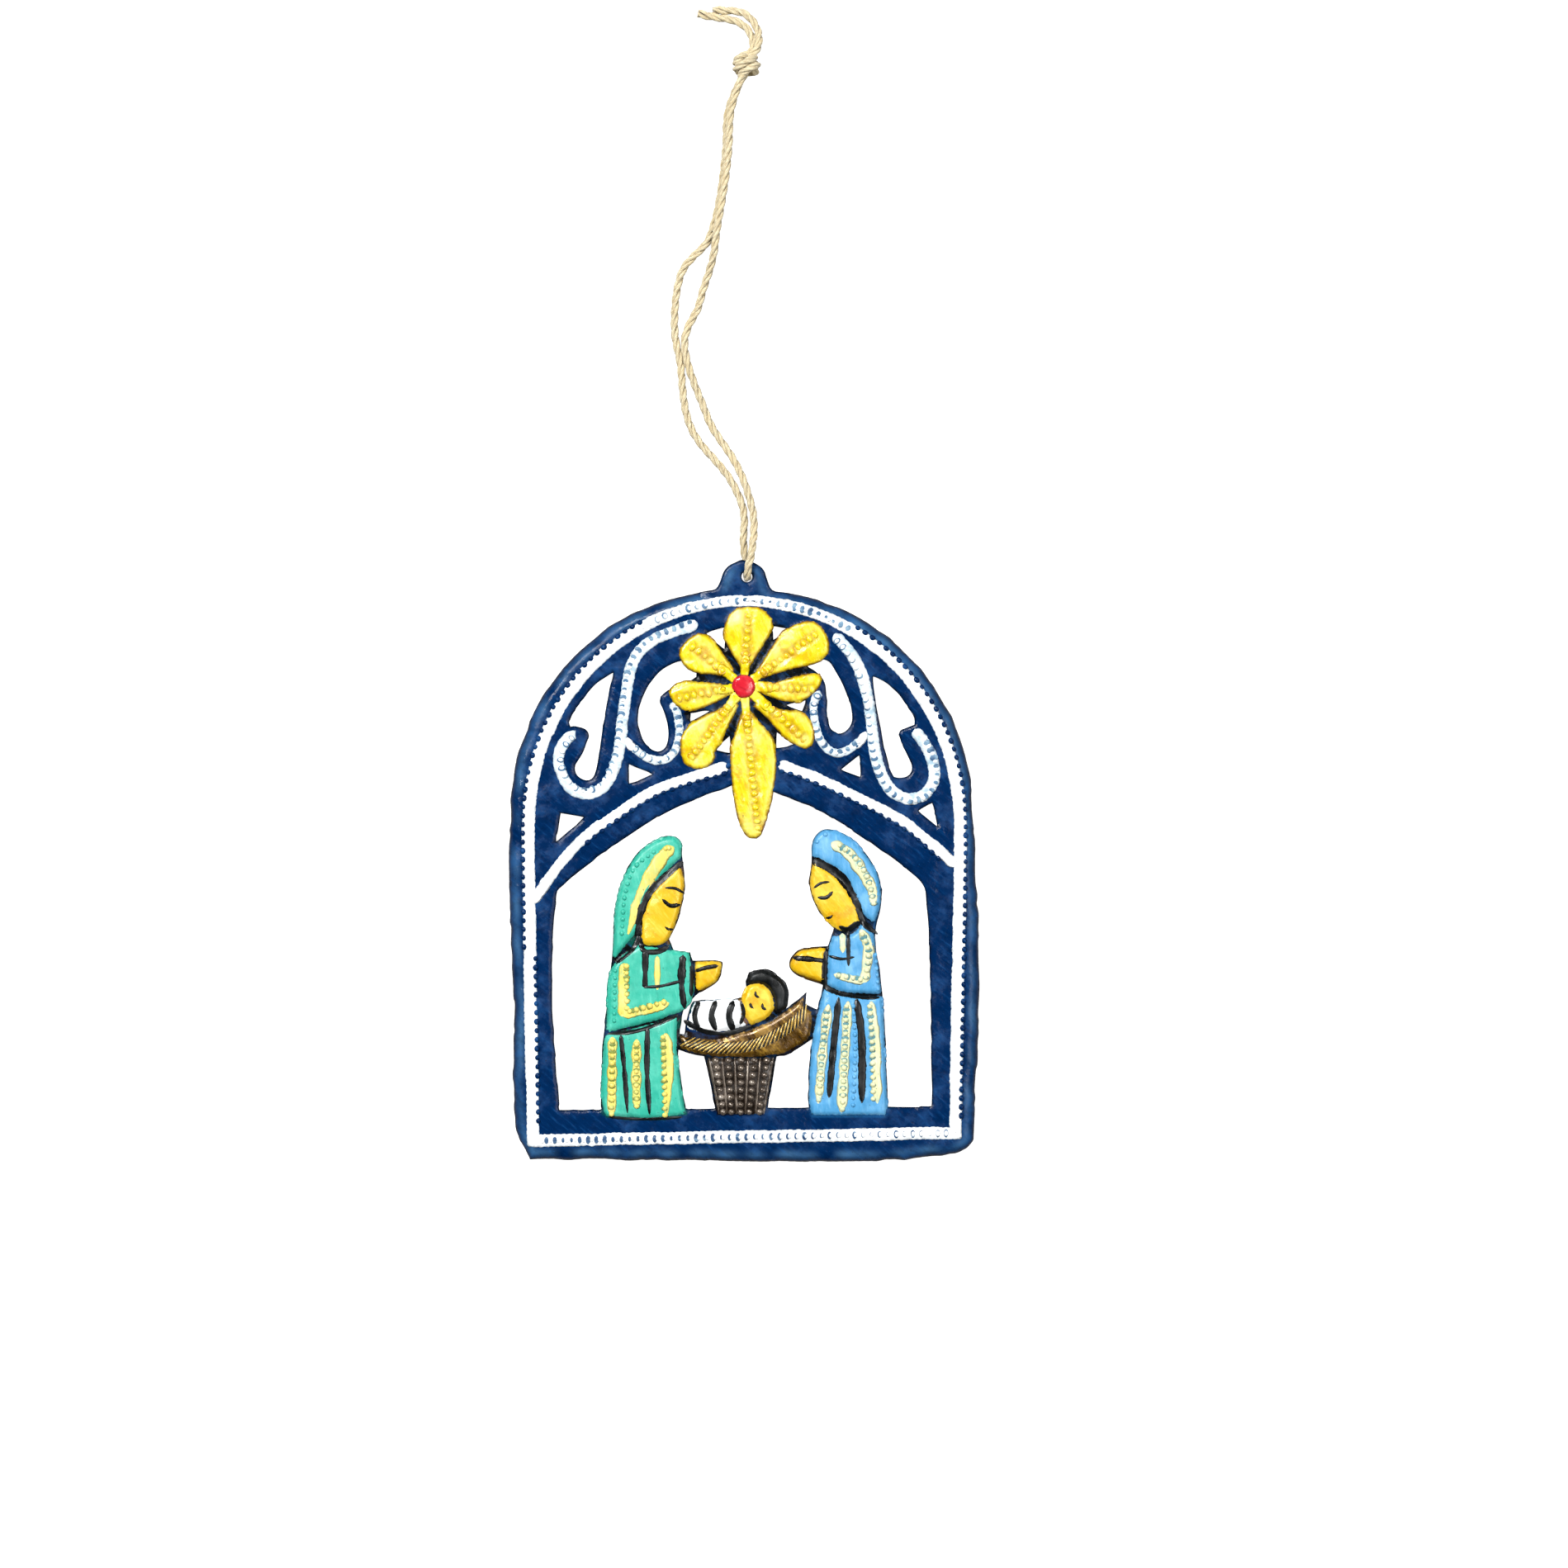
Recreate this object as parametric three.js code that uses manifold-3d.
// A hanging ornament: one pierced and embossed sheet of drum steel, hand painted, on a loop of jute twine.
// Millimetres. The ornament lies on its back: +X to the right of its face, +Y towards the hanging tab,
// +Z up out of the painted face. The origin is under the middle of the sheet, on the surface that its rim
// rests on.

import * as THREE from "three";
import { mergeVertices } from "three/addons/utils/BufferGeometryUtils.js";
import Module from "manifold-3d";

const wasm = await Module();
wasm.setup();

// The sheet
const SHEET_WIDTH = 92.8;
const SHEET_HEIGHT = 118;
const SHEET_THICKNESS = 0.9;

// The paper pattern that every outline below is drawn on. It is stretched to the sheet
const PATTERN_WIDTH = 92.8;
const PATTERN_HEIGHT = 118;
const PATTERN_CORNER = [PATTERN_WIDTH / 2, PATTERN_HEIGHT / 2];

// The arches of the sheet's edge and of the white border on the pattern: the point each springs from, its half
// width and height, and how full its shoulders are (1 is an ellipse, less is squarer)
const SHEET_ARCH = { spring: [-0.5, 8], radius: [45.65, 45.35], fullness: 0.96 };
const BORDER_ARCH = { spring: [0, 8], radius: [46.4, 44.7], fullness: 1 };

// The twine and its way through the hanging tab
const TWINE_DIAMETER = 1.9;
const TWINE_CLEARANCE = 0.35;
const EYE_CLEARANCE = 0.6;
const EYE_PLACE = [0.5, 55.2];
const FOLD_REACH = 7.65;
const TWINE_END_GAP = 0.3;
const KNOT_LENGTH = 5.4;
const KNOT_DIAMETER = 5.5;
const KNOT_END_DIAMETER = 4.2;
const KNOT_TURN = -0.38;
const KNOT_PLACE = [-0.1, 99.6];

// Raised work: how far each kind of form stands above the sheet, and how round its shoulders are
const LINE_HEIGHT = 0.4;
const LINE_SHOULDER = 0.25;
const FORM_HEIGHT = 0.9;
const FORM_SHOULDER = 0.45;
const STAR_CENTRE_HEIGHT = 1.1;
const STAR_CENTRE_DIAMETER = 4.2;

// Painted lines
const BORDER_INSET = 4.4;
const BORDER_CROWN_RAISE = 1.7;
const BORDER_WIDTH = 2.1;
const ARCH_LINE_WIDTH = 1.7;
const SCROLL_LINE_WIDTH = 1.9;
const HOOK_LINE_WIDTH = 1.3;

// How finely curves are divided
const OUTLINE_DIVISIONS = 2;
const ARCH_DIVISIONS = 28;
const ROUND_DIVISIONS = 12;
const TWINE_SIDES = 8;

// Sizes that follow from those above: the hole lets the twine pass, and the rim lifts the sheet clear of the
// twine under the tab
const TWINE_RADIUS = TWINE_DIAMETER / 2;
const EYE_DIAMETER = TWINE_DIAMETER + EYE_CLEARANCE;
const SHEET_UNDERSIDE = TWINE_DIAMETER + TWINE_CLEARANCE;
const SHEET_TOP = SHEET_UNDERSIDE + SHEET_THICKNESS;

const COLOURS = {
  blue: { color: 0x12407a, roughness: 0.3, metalness: 0.2 },
  white: { color: 0xf2f5f7, roughness: 0.45, metalness: 0 },
  gold: { color: 0xf3c81c, roughness: 0.35, metalness: 0.4 },
  red: { color: 0xc01a2a, roughness: 0.25, metalness: 0 },
  teal: { color: 0x45c3a8, roughness: 0.4, metalness: 0 },
  sky: { color: 0x5db4e6, roughness: 0.4, metalness: 0 },
  brown: { color: 0x57443a, roughness: 0.4, metalness: 0.5 },
  straw: { color: 0xb98a24, roughness: 0.45, metalness: 0.3 },
  black: { color: 0x15181a, roughness: 0.35, metalness: 0 },
  jute: { color: 0xd6c197, roughness: 0.95, metalness: 0 },
};

/** A place on the sheet from a place on the paper pattern. */
function at([x, y]) {
  return new THREE.Vector2((x * SHEET_WIDTH) / PATTERN_WIDTH, (y * SHEET_HEIGHT) / PATTERN_HEIGHT);
}

/** A closed outline: a run of one point is a straight edge to it, and a longer run is a smooth curve. */
function outline(start, ...runs) {
  const shape = new THREE.Shape();
  const first = at(start);
  shape.moveTo(first.x, first.y);
  for (const run of runs) {
    const points = run.map(at);
    if (points.length === 1) {
      shape.lineTo(points[0].x, points[0].y);
    } else {
      shape.splineThru(points);
    }
  }
  return shape;
}

/** A closed outline with straight edges only. */
function polygon(points) {
  return new THREE.Shape(points.map(at));
}

/** A smooth closed outline through the points, open at its narrow end between the last and the first. */
function leaf(points) {
  return outline(points[0], points.slice(1));
}

/** A strip of even width along a smooth path, with a pointed tip at each end. */
function strip(points, width) {
  const path = new THREE.SplineCurve(points.map(at));
  const steps = OUTLINE_DIVISIONS * (points.length - 1);
  const left = [];
  const right = [];
  for (let i = 0; i <= steps; i += 1) {
    const middle = path.getPoint(i / steps);
    const along = path.getTangent(i / steps);
    const across = new THREE.Vector2(-along.y, along.x).multiplyScalar(width / 2);
    left.push(middle.clone().add(across));
    right.unshift(middle.clone().sub(across));
  }
  const tip = (t, way) => path.getPoint(t).addScaledVector(path.getTangent(t), (way * width) / 2);
  return new THREE.Shape([...left, tip(1, 1), ...right, tip(0, -1)]);
}

/** A flat solid of the outline between two heights. */
function slab(shape, bottom, top) {
  const geometry = new THREE.ExtrudeGeometry(shape, {
    depth: top - bottom,
    bevelEnabled: false,
    curveSegments: OUTLINE_DIVISIONS,
  });
  return geometry.translate(0, 0, bottom);
}

/** A closed solid, ready to be joined or cut, from a geometry. */
function solid(geometry) {
  const bare = geometry.clone();
  bare.deleteAttribute("normal");
  bare.deleteAttribute("uv");
  const merged = mergeVertices(bare);
  return new wasm.Manifold(
    new wasm.Mesh({
      numProp: 3,
      vertProperties: new Float32Array(merged.attributes.position.array),
      triVerts: new Uint32Array(merged.index.array),
    }),
  );
}

/** The geometry of a solid that has been joined or cut. */
function geometryOf(cutSolid) {
  const mesh = cutSolid.getMesh();
  const geometry = new THREE.BufferGeometry();
  geometry.setAttribute("position", new THREE.BufferAttribute(mesh.vertProperties, 3));
  geometry.setIndex(new THREE.BufferAttribute(mesh.triVerts, 1));
  geometry.computeVertexNormals();
  return geometry;
}

/** A form with round shoulders and a flat base at height 0. */
function raised(shape, height, shoulder) {
  const buried = shoulder + height;
  const geometry = new THREE.ExtrudeGeometry(shape, {
    depth: buried + height - 2 * shoulder,
    bevelEnabled: true,
    bevelThickness: shoulder,
    bevelSize: shoulder,
    bevelOffset: -shoulder,
    bevelSegments: 1,
    curveSegments: OUTLINE_DIVISIONS,
  });
  geometry.translate(0, 0, shoulder - buried);
  return geometryOf(solid(geometry).trimByPlane([0, 0, 1], 0));
}

/** A named sub-part in one of the colours. */
function piece(name, geometry, colour) {
  const mesh = new THREE.Mesh(geometry, new THREE.MeshStandardMaterial(COLOURS[colour]));
  mesh.name = name;
  return mesh;
}

/** The frame's outline drawn in by an inset: a rounded arch, then the foot from left to right. */
function frameOutline(foot, arch, inset, crownRaise) {
  const half = at(PATTERN_CORNER);
  const drawIn = (point) => point.multiply(new THREE.Vector2(1 - inset / half.x, 1 - inset / half.y));
  const spring = drawIn(at(arch.spring));
  const radius = drawIn(at(arch.radius));
  const points = [];
  for (let i = 0; i <= ARCH_DIVISIONS; i += 1) {
    const angle = (Math.PI * i) / ARCH_DIVISIONS;
    const across = Math.sign(Math.cos(angle)) * Math.abs(Math.cos(angle)) ** arch.fullness;
    const rise = (radius.y + crownRaise) * Math.abs(Math.sin(angle)) ** arch.fullness;
    points.push(new THREE.Vector2(spring.x + radius.x * across, spring.y + rise));
  }
  return new THREE.Shape([...points, ...foot.map((corner) => drawIn(at(corner)))]);
}

// The foot of the frame, from left to right, with the corners cut off or square
const CUT_FOOT = [
  [-46.4, 1],
  [-46.1, -14],
  [-45.4, -28],
  [-45.1, -51.7],
  [-42.2, -59],
  [42.2, -57.4],
  [45.1, -54.8],
  [46.4, -24],
];
const SQUARE_FOOT = [
  [-45.4, -59],
  [45.4, -57.4],
];

// The tab that the twine goes through
const TAB = outline(
  [-6.2, 48],
  [[-6.2, 52.2]],
  [
    [-5.2, 54.4],
    [-4.4, 56.7],
    [-2.6, 58.4],
    [0, 59],
    [2.6, 58.4],
    [4.3, 56.7],
    [4.9, 54.4],
    [6.2, 52.2],
  ],
  [[6.2, 48]],
);

// The arched window behind the figures
const WINDOW = outline(
  [-35.9, -48.5],
  [
    [-37.2, -28.8],
    [-37, -13],
    [-36.2, -6],
  ],
  [
    [-33.4, -3.4],
    [-25.7, 2.5],
    [-15, 9.3],
    [-4, 13.8],
    [0, 15.2],
    [4, 13.8],
    [15, 9.3],
    [25.7, 2.5],
    [33.6, -3.6],
    [35.1, -6],
  ],
  [
    [36, -20],
    [36.4, -47.8],
  ],
);

// The openings of the scrollwork and between the petals
const PIERCINGS = [
  leaf([
    [-25.6, 36.4],
    [-29, 34.1],
    [-32.5, 29.6],
    [-34.1, 26.4],
    [-31.7, 26],
    [-30.1, 24.4],
    [-31.5, 20.6],
    [-32.8, 18.3],
    [-32.3, 16.5],
    [-30.4, 15.7],
    [-29.1, 17.2],
    [-28.1, 22.8],
    [-27.2, 29],
    [-25.6, 36.4],
  ]),
  leaf([
    [-9.9, 38.5],
    [-12.8, 38.6],
    [-16.7, 36.4],
    [-19.6, 31.9],
    [-20.6, 27.3],
    [-19.6, 23.6],
    [-17.5, 21.5],
    [-15.4, 22],
    [-14.8, 25.1],
    [-15.6, 28.4],
    [-16.7, 31.5],
    [-14.4, 33.4],
    [-9.6, 35.6],
    [-9.9, 38.5],
  ]),
  leaf([
    [25.2, 35.6],
    [28, 34.1],
    [31.2, 30.6],
    [33.1, 26.9],
    [31.7, 26],
    [29.9, 24.7],
    [31.2, 21.2],
    [32.5, 18.3],
    [32, 16.7],
    [30.4, 16.2],
    [28.8, 16.9],
    [27.2, 22.8],
    [26, 29.4],
    [25.2, 35.6],
  ]),
  leaf([
    [12.3, 38],
    [15.6, 39],
    [17.5, 37],
    [19.6, 33],
    [20.9, 27.3],
    [18.8, 24.9],
    [16.6, 26.4],
    [16.2, 32],
    [15.4, 35.4],
    [12.3, 38],
  ]),
  polygon([
    [-22.3, 18.5],
    [-22.3, 15.1],
    [-18, 16.7],
  ]),
  polygon([
    [-35.7, 9.1],
    [-36.5, 3.8],
    [-31.4, 8.3],
  ]),
  polygon([
    [22.3, 20.2],
    [19, 17.7],
    [22.5, 16.4],
  ]),
  polygon([
    [36.5, 10.9],
    [34.1, 9.6],
    [37.5, 6.7],
  ]),
  polygon([
    [-7.2, 44.1],
    [-3.9, 41.2],
    [-4, 45.2],
  ]),
  polygon([
    [5.6, 45.4],
    [5.7, 43],
    [8.6, 45],
  ]),
  polygon([
    [-10.4, 28.6],
    [-10.4, 27.2],
    [-6.9, 29],
  ]),
  polygon([
    [8.4, 30.2],
    [11.2, 29.2],
    [11.8, 31],
  ]),
  polygon([
    [-2.9, 24],
    [-5.7, 21.6],
    [-2.6, 21],
  ]),
  polygon([
    [6.4, 24.8],
    [6.4, 22],
    [9.6, 22.6],
  ]),
];

// The star's eight petals, each drawn from the star's centre outwards and back
const PETALS = {
  top: [
    [-0.6, 36.9],
    [-3.1, 41.4],
    [-3.3, 45.4],
    [-1.4, 48.4],
    [2.7, 48.5],
    [5, 46.2],
    [4.4, 43],
    [0.7, 36.9],
  ],
  top_right: [
    [1.9, 36.4],
    [5.9, 42.2],
    [9.4, 44.9],
    [13.1, 46],
    [15.4, 43.6],
    [15.4, 39.9],
    [10.4, 37.7],
    [2.8, 34.9],
  ],
  right: [
    [3.1, 34],
    [7.4, 35.2],
    [12.6, 35.9],
    [14.6, 35.1],
    [11.6, 31.7],
    [8.1, 30.9],
    [3.3, 32.5],
  ],
  bottom_right: [
    [2.5, 31],
    [6.4, 29.5],
    [11, 28.5],
    [12.9, 25.4],
    [12.6, 22.6],
    [10.4, 22.9],
    [6.2, 26],
    [1.7, 29.9],
  ],
  bottom: [
    [-0.4, 29.8],
    [-2, 24.3],
    [-1.9, 17.2],
    [-0.9, 9.8],
    [0.6, 5.6],
    [1.7, 4.9],
    [2.8, 5.7],
    [4.6, 11.4],
    [5.6, 18],
    [5, 24.2],
    [1, 29.8],
  ],
  bottom_left: [
    [-0.9, 30.2],
    [-3.5, 24.8],
    [-6.2, 21.6],
    [-6.4, 19.6],
    [-8.4, 18.4],
    [-11.3, 19.4],
    [-11.6, 23.9],
    [-8.3, 27.8],
    [-1.9, 31],
  ],
  left: [
    [-2.7, 33.6],
    [-8.2, 35],
    [-14.1, 33],
    [-11, 29.4],
    [-6.4, 30.2],
    [-2.5, 32.2],
  ],
  top_left: [
    [-1.6, 37],
    [-4.6, 40.9],
    [-8.3, 43.6],
    [-11, 42],
    [-12.1, 39.8],
    [-9.1, 36.3],
    [-5.9, 36],
    [-3.1, 36],
  ],
};
const STAR_CENTRE = [-0.1, 33.9];
const STAR_TAIL_EDGE = 0.5;

// Silhouettes of what stands in the window, each carried down into the foot rail
const LEFT_FIGURE = outline(
  [-27.2, -50.2],
  [[-28, -48.1]],
  [
    [-27.7, -35.9],
    [-26, -20.1],
    [-25.2, -8.8],
    [-23.1, -2],
    [-19.9, 2.5],
    [-14.8, 4.9],
    [-12.2, 3.4],
    [-12, 0.4],
    [-11.4, -4.6],
    [-12.6, -11],
    [-14.6, -15.4],
  ],
  [[-13.5, -17.8]],
  [[-10.4, -17.8]],
  [[-9.9, -19.4]],
  [
    [-4.6, -19.4],
    [-4.1, -21],
    [-5.4, -24],
    [-9.1, -26.2],
  ],
  [[-11.8, -29.5]],
  [
    [-12.8, -36.9],
    [-12.3, -42],
    [-11, -50.2],
  ],
);
const RIGHT_FIGURE = outline(
  [12.7, -50.2],
  [[12.3, -46.5]],
  [
    [12.5, -40.1],
    [13.5, -32],
    [15.2, -24.4],
  ],
  [
    [9.8, -22.2],
    [8.7, -19.8],
    [10.7, -17.3],
    [16.2, -16.6],
  ],
  [[17.3, -13]],
  [
    [14, -9.4],
    [12.5, -5],
    [12.9, -0.4],
    [13.3, 4],
    [16.4, 6.2],
    [21.5, 3.8],
    [26, -2.3],
    [26.9, -7.8],
    [25.6, -15.6],
    [27.2, -26.9],
    [28.1, -48.1],
  ],
  [[27.6, -50.2]],
);
const TROUGH = outline(
  [-12.9, -33.6],
  [
    [-5.9, -34.3],
    [1.4, -32.3],
    [7, -29.6],
    [12.2, -25.6],
  ],
  [[12, -28]],
  [[14.4, -29.1]],
  [[13, -35.2]],
  [
    [6.5, -38.5],
    [-6.7, -38.5],
    [-12.9, -36.9],
  ],
);
const BASKET = polygon([
  [-8, -38],
  [6.5, -38],
  [4.3, -50.2],
  [-5.4, -50.2],
]);
const INFANT = outline(
  [-11.9, -35.4],
  [[-11.6, -32.4]],
  [
    [-10.6, -28.6],
    [-9.2, -27.1],
    [-0.8, -26.8],
    [0.2, -23.4],
    [1.4, -21.9],
    [4.6, -21.3],
    [8.4, -24.6],
    [8, -30.4],
  ],
  [[-2, -35.4]],
);

// Raised and painted forms of the figures, the trough and the infant: name, colour and outline
const FORMS = [
  [
    "left_veil",
    "teal",
    outline(
      [-25.4, -19],
      [
        [-24.8, -8.8],
        [-22.7, -2.2],
        [-19.6, 2.1],
        [-14.8, 4.5],
        [-12.6, 3.2],
        [-12.5, 0.6],
      ],
      [
        [-15.8, -2.6],
        [-19.2, -6.9],
        [-20.8, -13],
        [-25.4, -19],
      ],
    ),
  ],
  [
    "left_face",
    "gold",
    outline(
      [-12.7, -1.1],
      [
        [-11.8, -4.8],
        [-13, -10.8],
        [-15.2, -15.6],
        [-17.6, -16.4],
        [-20.1, -15.2],
        [-18.4, -7.2],
        [-12.7, -1.1],
      ],
    ),
  ],
  [
    "left_sleeve",
    "teal",
    outline(
      [-25.6, -21],
      [[-20.6, -16.6]],
      [
        [-17.6, -17.2],
        [-10.8, -18.2],
      ],
      [[-10.2, -26.4]],
      [[-12.4, -29.2]],
      [
        [-18, -31.2],
        [-26.6, -33.3],
      ],
    ),
  ],
  [
    "left_hands",
    "gold",
    outline(
      [-9.4, -20],
      [
        [-5, -19.8],
        [-4.7, -21.2],
        [-5.8, -23.7],
        [-9.2, -25.4],
      ],
    ),
  ],
  [
    "left_skirt",
    "teal",
    outline(
      [-27.1, -34.2],
      [
        [-18, -32.1],
        [-13.2, -30.2],
      ],
      [
        [-13.3, -36.9],
        [-12.7, -42],
        [-11.6, -49.2],
      ],
      [[-16.4, -49.9]],
      [[-26.8, -49.6]],
      [[-27.5, -47.6]],
    ),
  ],
  [
    "right_veil",
    "sky",
    outline(
      [13.4, 1],
      [
        [13.8, 4],
        [16.4, 5.8],
        [21.3, 3.5],
        [25.6, -2.5],
        [26.4, -7.8],
        [25.2, -12],
      ],
      [
        [23, -9.6],
        [19.6, -3],
        [13.4, 1],
      ],
    ),
  ],
  [
    "right_face",
    "gold",
    outline(
      [13.5, -0.4],
      [
        [13, -5],
        [14.6, -9.3],
        [17.6, -13],
        [20.4, -13.4],
        [22.4, -11],
        [18.6, -4],
        [13.5, -0.4],
      ],
    ),
  ],
  [
    "right_sleeve",
    "sky",
    outline(
      [17.3, -15],
      [
        [21.2, -14.4],
        [23.2, -12],
      ],
      [[25.1, -14.6]],
      [
        [25.7, -20.1],
        [26.5, -25.8],
      ],
      [[19.1, -25.4]],
      [[16.4, -24.2]],
      [[16.7, -17]],
    ),
  ],
  [
    "right_hands",
    "gold",
    outline(
      [15.6, -23.6],
      [
        [10.1, -21.8],
        [9.2, -19.8],
        [11, -17.8],
        [15.7, -17.2],
      ],
    ),
  ],
  [
    "right_skirt",
    "sky",
    outline(
      [15.7, -25.2],
      [[19.1, -26.3]],
      [[26.7, -26.7]],
      [
        [27.2, -36],
        [27.7, -48.1],
      ],
      [[27.2, -49.4]],
      [[13.2, -49.4]],
      [[12.8, -46.5]],
      [
        [13, -40.1],
        [14, -32],
        [15.7, -25.2],
      ],
    ),
  ],
  [
    "manger_straw",
    "straw",
    outline(
      [-12.4, -34.1],
      [
        [-5.9, -34.8],
        [1.6, -32.8],
        [7.2, -30],
        [11.6, -26.6],
      ],
      [[11.4, -28.4]],
      [[13.2, -29.5]],
      [[12.5, -34.8]],
      [
        [6.4, -38],
        [-6.7, -38],
        [-12.4, -36.5],
      ],
    ),
  ],
  [
    "manger_basket",
    "brown",
    polygon([
      [-7.4, -38.6],
      [6, -38.6],
      [3.9, -49.4],
      [-5, -49.4],
    ]),
  ],
  [
    "infant_wrap",
    "white",
    outline(
      [-11.2, -32.7],
      [
        [-10.2, -28.8],
        [-8.8, -27.5],
        [-0.9, -27.3],
        [-0.6, -29.6],
        [0.4, -32.2],
      ],
      [
        [-5.9, -33.7],
        [-11.2, -32.7],
      ],
    ),
  ],
  [
    "infant_face",
    "gold",
    outline(
      [0.2, -30],
      [
        [-0.2, -27],
        [0.8, -24.7],
        [2.8, -24.2],
        [4.8, -25.6],
        [5.5, -28.6],
        [4.4, -30.4],
      ],
      [[1.4, -31.8]],
    ),
  ],
  [
    "infant_hair",
    "black",
    outline(
      [1.3, -22.2],
      [
        [4.5, -21.8],
        [7.9, -24.8],
        [7.8, -28.4],
      ],
      [[6.4, -29.5]],
      [
        [6.1, -26.4],
        [4.6, -24.2],
        [2.8, -23.5],
      ],
      [[1, -23.7]],
    ),
  ],
];

// Painted lines of the scrollwork: name, width and the path's points
const LINES = [
  [
    "arch_line_left",
    ARCH_LINE_WIDTH,
    [
      [-3.9, 18.1],
      [-16.4, 14],
      [-24.3, 9.3],
      [-30.6, 4.8],
      [-35.1, 0.2],
      [-39.4, -5.4],
    ],
  ],
  [
    "arch_line_right",
    ARCH_LINE_WIDTH,
    [
      [7.4, 18.5],
      [14, 16],
      [23.6, 11.5],
      [31.7, 7],
      [39, 0.9],
    ],
  ],
  [
    "scroll_line_left",
    SCROLL_LINE_WIDTH,
    [
      [-10, 45.8],
      [-16.4, 43.5],
      [-20.4, 40.6],
      [-22.4, 36],
      [-23.6, 27.7],
      [-24.6, 20.4],
      [-26.9, 14.8],
      [-31, 12.9],
      [-34.4, 14.8],
      [-36.2, 19.2],
      [-35.2, 22.6],
      [-33.6, 24.4],
    ],
  ],
  [
    "scroll_line_right",
    SCROLL_LINE_WIDTH,
    [
      [18, 43.4],
      [20.9, 40],
      [23.2, 35],
      [24.6, 28.6],
      [25.4, 21.4],
      [27.2, 15.6],
      [30.4, 12.4],
      [34.6, 12.4],
      [37, 15.8],
      [36.5, 19.9],
      [34.9, 23.1],
      [33.6, 24.8],
    ],
  ],
  [
    "hook_line_left",
    HOOK_LINE_WIDTH,
    [
      [-21.4, 21.8],
      [-18.8, 19.9],
      [-16.2, 19.4],
      [-14.2, 20.5],
      [-12.9, 22.8],
      [-12.6, 25.6],
      [-13, 28.4],
      [-13.9, 30.2],
    ],
  ],
  [
    "hook_line_right",
    HOOK_LINE_WIDTH,
    [
      [22.2, 23.1],
      [20.4, 21.6],
      [18.3, 20.9],
      [16.4, 21.6],
      [14.6, 23.8],
      [13.8, 26.6],
      [13.5, 30],
      [14.4, 32.3],
    ],
  ],
];

/** The pierced sheet with its rim turned down all round, but for the tab. */
function steelSheet() {
  const flat = (shape) => solid(slab(shape, SHEET_UNDERSIDE, SHEET_TOP));
  const through = (shape) => solid(slab(shape, -SHEET_THICKNESS, SHEET_TOP + SHEET_THICKNESS));
  const rim = solid(slab(frameOutline(CUT_FOOT, SHEET_ARCH, 0, 0), 0, SHEET_TOP));
  const within = frameOutline(CUT_FOOT, SHEET_ARCH, SHEET_THICKNESS, 0);
  const hollow = solid(slab(within, -SHEET_THICKNESS, SHEET_UNDERSIDE));
  const underTab = solid(slab(TAB, -SHEET_THICKNESS, SHEET_UNDERSIDE));
  let sheet = rim.subtract(hollow).subtract(underTab).add(flat(TAB)).subtract(through(WINDOW));
  for (const piercing of PIERCINGS) {
    sheet = sheet.subtract(through(piercing));
  }
  const eye = at(EYE_PLACE);
  const eyeRadius = EYE_DIAMETER / 2;
  const hole = new THREE.CylinderGeometry(eyeRadius, eyeRadius, 4 * SHEET_TOP, 2 * ROUND_DIVISIONS);
  hole.rotateX(Math.PI / 2).translate(eye.x, eye.y, SHEET_TOP);
  sheet = sheet.subtract(solid(hole));
  for (const standing of [LEFT_FIGURE, RIGHT_FIGURE, TROUGH, BASKET, INFANT, starTail()]) {
    sheet = sheet.add(flat(standing));
  }
  return piece("steel_sheet", geometryOf(sheet), "blue");
}

/** The sheet under the star's long petal, a little wider than the petal, which hangs into the window. */
function starTail() {
  const middle = PETALS.bottom.reduce((sum, [x]) => sum + x, 0) / PETALS.bottom.length;
  const widen = ([x, y]) => [x + Math.sign(x - middle) * STAR_TAIL_EDGE, y - STAR_TAIL_EDGE];
  return leaf(PETALS.bottom.map(widen));
}

/** The star: eight petals round a raised centre. */
function star() {
  const group = new THREE.Group();
  for (const [name, points] of Object.entries(PETALS)) {
    group.add(piece(`petal_${name}`, raised(leaf(points), FORM_HEIGHT, FORM_SHOULDER), "gold"));
  }
  const round = new THREE.Shape();
  const centre = at(STAR_CENTRE);
  round.absarc(centre.x, centre.y, STAR_CENTRE_DIAMETER / 2, 0, 2 * Math.PI);
  const boss = raised(new THREE.Shape(round.getPoints(ROUND_DIVISIONS)), STAR_CENTRE_HEIGHT, FORM_SHOULDER);
  group.add(piece("star_centre", boss, "red"));
  return group;
}

/** The white lines: the closed border and the lines of the arch and scrolls. */
function paintedLines() {
  const group = new THREE.Group();
  const ring = (inset) => frameOutline(SQUARE_FOOT, BORDER_ARCH, inset, BORDER_CROWN_RAISE);
  const border = ring(BORDER_INSET - BORDER_WIDTH / 2);
  border.holes.push(ring(BORDER_INSET + BORDER_WIDTH / 2));
  group.add(piece("border_line", raised(border, LINE_HEIGHT, LINE_SHOULDER), "white"));
  for (const [name, width, points] of LINES) {
    group.add(piece(name, raised(strip(points, width), LINE_HEIGHT, LINE_SHOULDER), "white"));
  }
  return group;
}

/** The painted figures, trough, basket and infant. */
function figures() {
  const group = new THREE.Group();
  for (const [name, colour, shape] of FORMS) {
    group.add(piece(name, raised(shape, FORM_HEIGHT, FORM_SHOULDER), colour));
  }
  return group;
}

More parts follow.
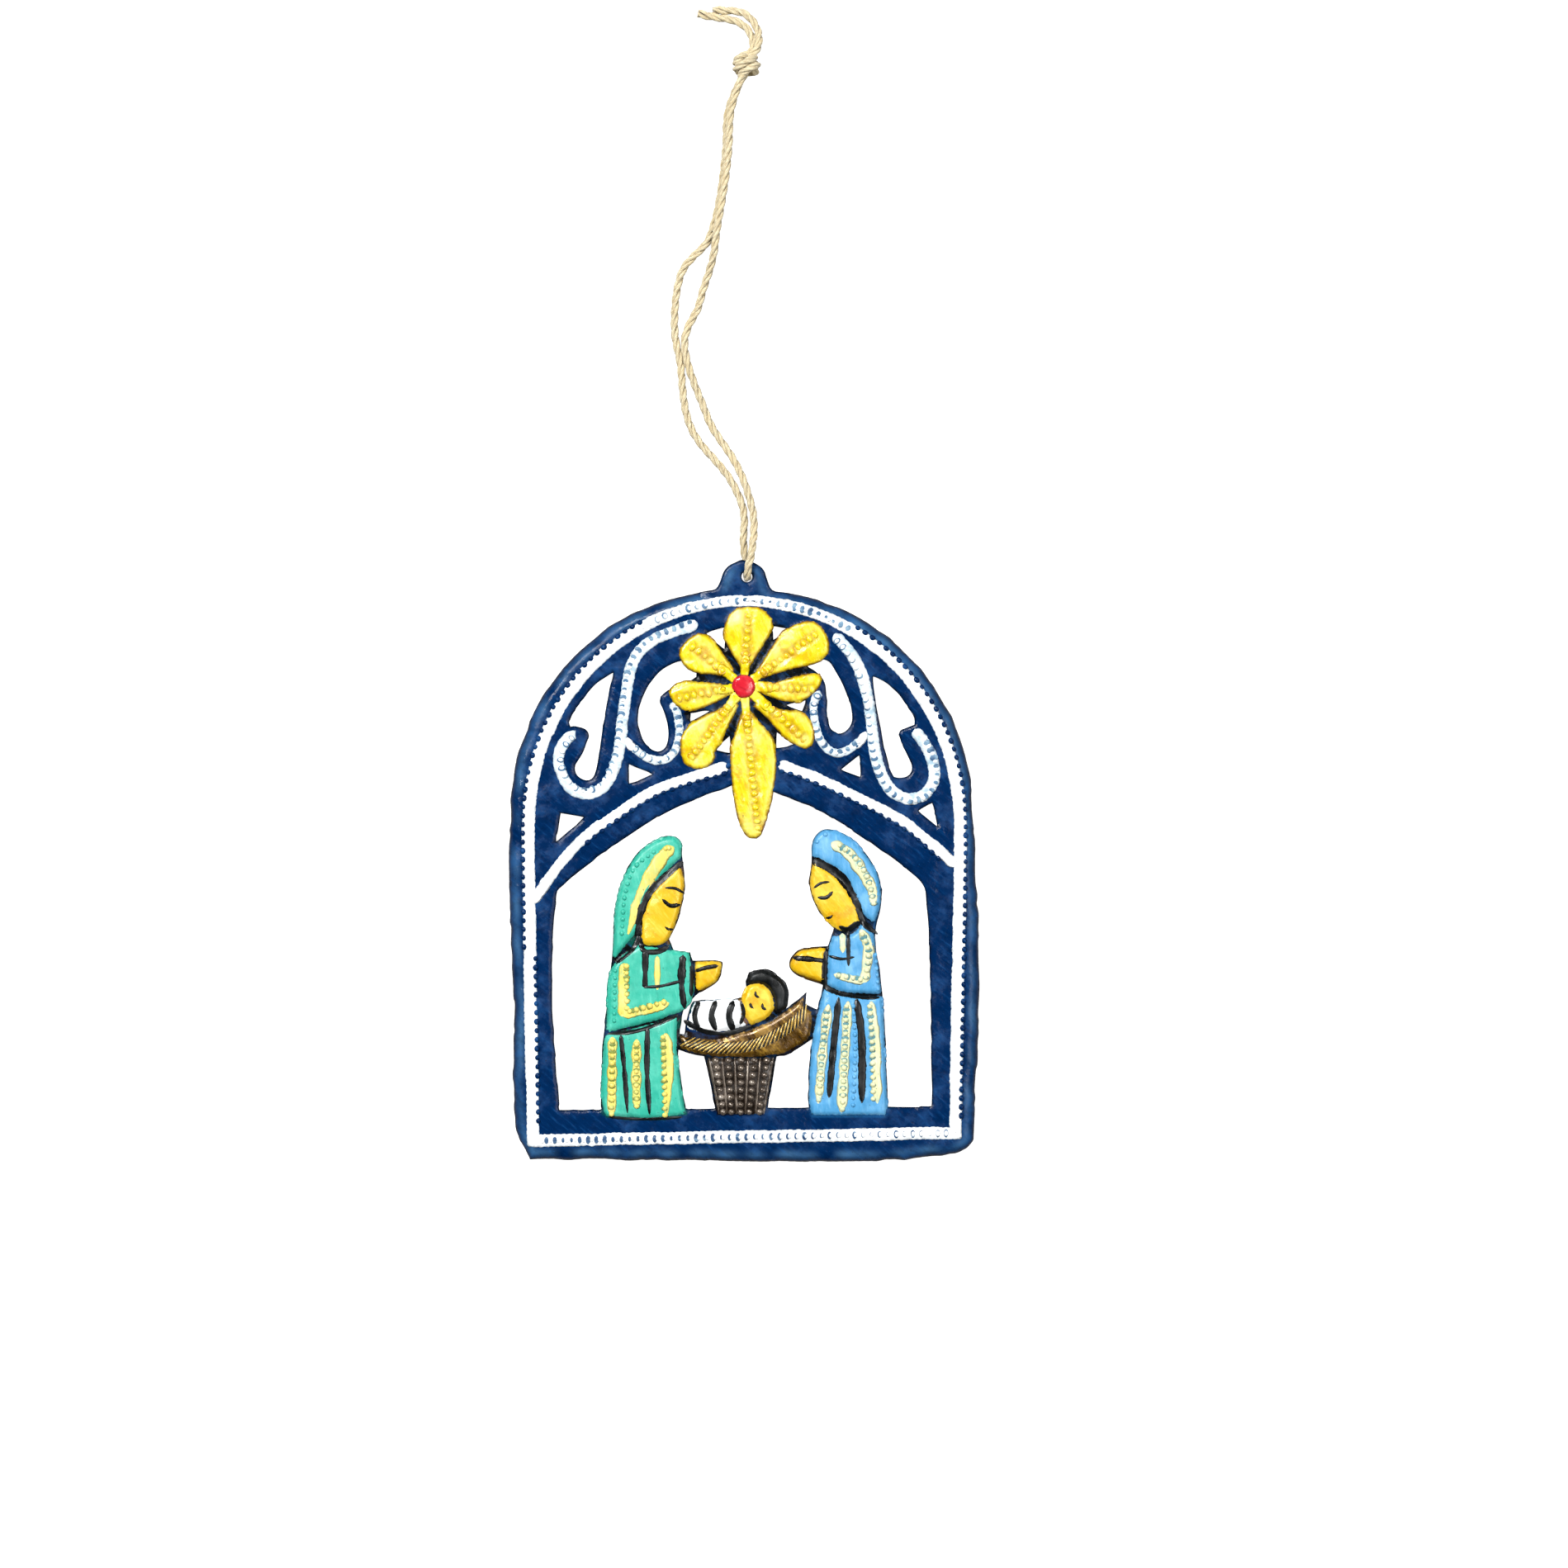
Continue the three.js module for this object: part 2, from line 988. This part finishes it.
/** A length of twine along a smooth path through the points. */
function twine(name, points, steps) {
  const section = new THREE.Shape();
  section.absarc(0, 0, TWINE_RADIUS, 0, 2 * Math.PI);
  const path = new THREE.CatmullRomCurve3(points.map((point) => new THREE.Vector3(...point)));
  const geometry = new THREE.ExtrudeGeometry(new THREE.Shape(section.getPoints(TWINE_SIDES / 2)), {
    extrudePath: path,
    steps,
    bevelEnabled: false,
  });
  return piece(name, geometry, "jute");
}

/** The twine as it lies: through the eye, up in two legs to the knot, and on in two tails. */
function hangingLoop() {
  const group = new THREE.Group();
  const eye = at(EYE_PLACE);
  group.position.set(eye.x, eye.y, 0);
  const low = TWINE_RADIUS;
  const high = SHEET_TOP + TWINE_CLEARANCE + TWINE_RADIUS;
  const turnRadius = (high - low) / 2;
  const turn = [];
  for (let i = 0; i <= 4; i += 1) {
    const angle = Math.PI * (1.5 - i / 4);
    turn.push([0.05 * i, turnRadius * (1 + Math.cos(angle)), low + turnRadius * (1 + Math.sin(angle))]);
  }
  const eyeEnd = FOLD_REACH - TWINE_END_GAP / 2;
  const legStart = FOLD_REACH + TWINE_END_GAP / 2;
  const underTab = [
    [-0.7, eyeEnd, low],
    [-0.5, 4.6, low],
  ];
  const overTab = [
    [0.9, 4, high],
    [1.1, 5.8, 3.9],
    [1.3, eyeEnd, 3],
  ];
  group.add(twine("twine_eye", [...underTab, ...turn, ...overTab], 14));
  const leftLeg = [
    [-0.7, legStart, low],
    [-0.5, 11, low],
    [-0.8, 13.6, low],
    [-1.9, 16.5, low],
    [-3.6, 19.6, low],
    [-6.2, 22.8, low],
    [-8.8, 25.7, low],
    [-10.7, 28.6, low],
    [-11.9, 32.1, low],
    [-12.5, 36, low],
    [-13, 41.8, low],
    [-14, 46.7, low],
    [-14.1, 51.5, low],
    [-13.6, 56.3, low],
    [-12.4, 60.2, low],
    [-9.9, 63.1, low],
    [-7.8, 65.2, low],
    [-6.7, 68, low],
    [-5.8, 71.2, low],
    [-4.8, 77.3, low],
    [-4.1, 83.8, low],
    [-3.8, 90.2, low],
    [-2.6, 94, 1.2],
    [-1.3, 96.6, 1.65],
  ];
  group.add(twine("twine_left_leg", leftLeg, 28));
  const rightLeg = [
    [1.35, legStart, 2.9],
    [1.4, 10, 2.5],
    [1.2, 12.6, 2.3],
    [0.3, 16, 2.4],
    [-1, 19.7, 2.2],
    [-3, 23.6, 1.4],
    [-5, 26.5, low],
    [-7.1, 29.8, low],
    [-8.6, 33.6, low],
    [-10, 37.8, 1.4],
    [-10.8, 41.8, 1.9],
    [-11.2, 45.8, 1.4],
    [-10.6, 49, low],
    [-9.6, 52.3, low],
    [-8.5, 56.3, low],
    [-7.3, 59.8, 1.3],
    [-6.4, 63.2, 2.5],
    [-5.9, 67, 3.1],
    [-5.2, 71.2, 3.15],
    [-4.2, 77.3, 3.15],
    [-3.5, 83.8, 3.15],
    [-3.2, 90.2, 3.15],
    [-2.3, 93.8, 3.4],
    [-1.2, 96.6, 3.85],
  ];
  group.add(twine("twine_right_leg", rightLeg, 28));
  group.add(knot());
  const leftTail = [
    [0, 102.9, 2.75],
    [0.5, 105, 1.7],
    [0.1, 107, low],
    [-1.3, 108.2, low],
    [-3.8, 108.4, low],
    [-6.6, 108.3, low],
    [-9.5, 108.9, low],
  ];
  group.add(twine("twine_left_tail", leftTail, 7));
  const rightTail = [
    [2.1, 102, 2.75],
    [2.9, 104.4, 1.7],
    [2.5, 107.4, low],
    [0.7, 109.9, low],
    [-2.2, 110.6, low],
    [-6.7, 110.6, low],
  ];
  group.add(twine("twine_right_tail", rightTail, 7));
  return group;
}

/** The overhand knot as a plain barrel that lies on the same surface as the twine. */
function knot() {
  const profile = [
    [0, -KNOT_LENGTH / 2],
    [KNOT_END_DIAMETER / 2, -KNOT_LENGTH / 2],
    [KNOT_DIAMETER / 2, -KNOT_LENGTH / 5],
    [KNOT_DIAMETER / 2, KNOT_LENGTH / 5],
    [KNOT_END_DIAMETER / 2, KNOT_LENGTH / 2],
    [0, KNOT_LENGTH / 2],
  ].map(([radius, along]) => new THREE.Vector2(radius, along));
  const mesh = piece("twine_knot", new THREE.LatheGeometry(profile, ROUND_DIVISIONS), "jute");
  mesh.position.set(...KNOT_PLACE, KNOT_DIAMETER / 2);
  mesh.rotation.z = KNOT_TURN;
  return mesh;
}

const ornament = new THREE.Group();
const work = new THREE.Group();
work.position.z = SHEET_TOP;
work.add(paintedLines(), star(), figures());
ornament.add(steelSheet(), work, hangingLoop());

export default ornament;
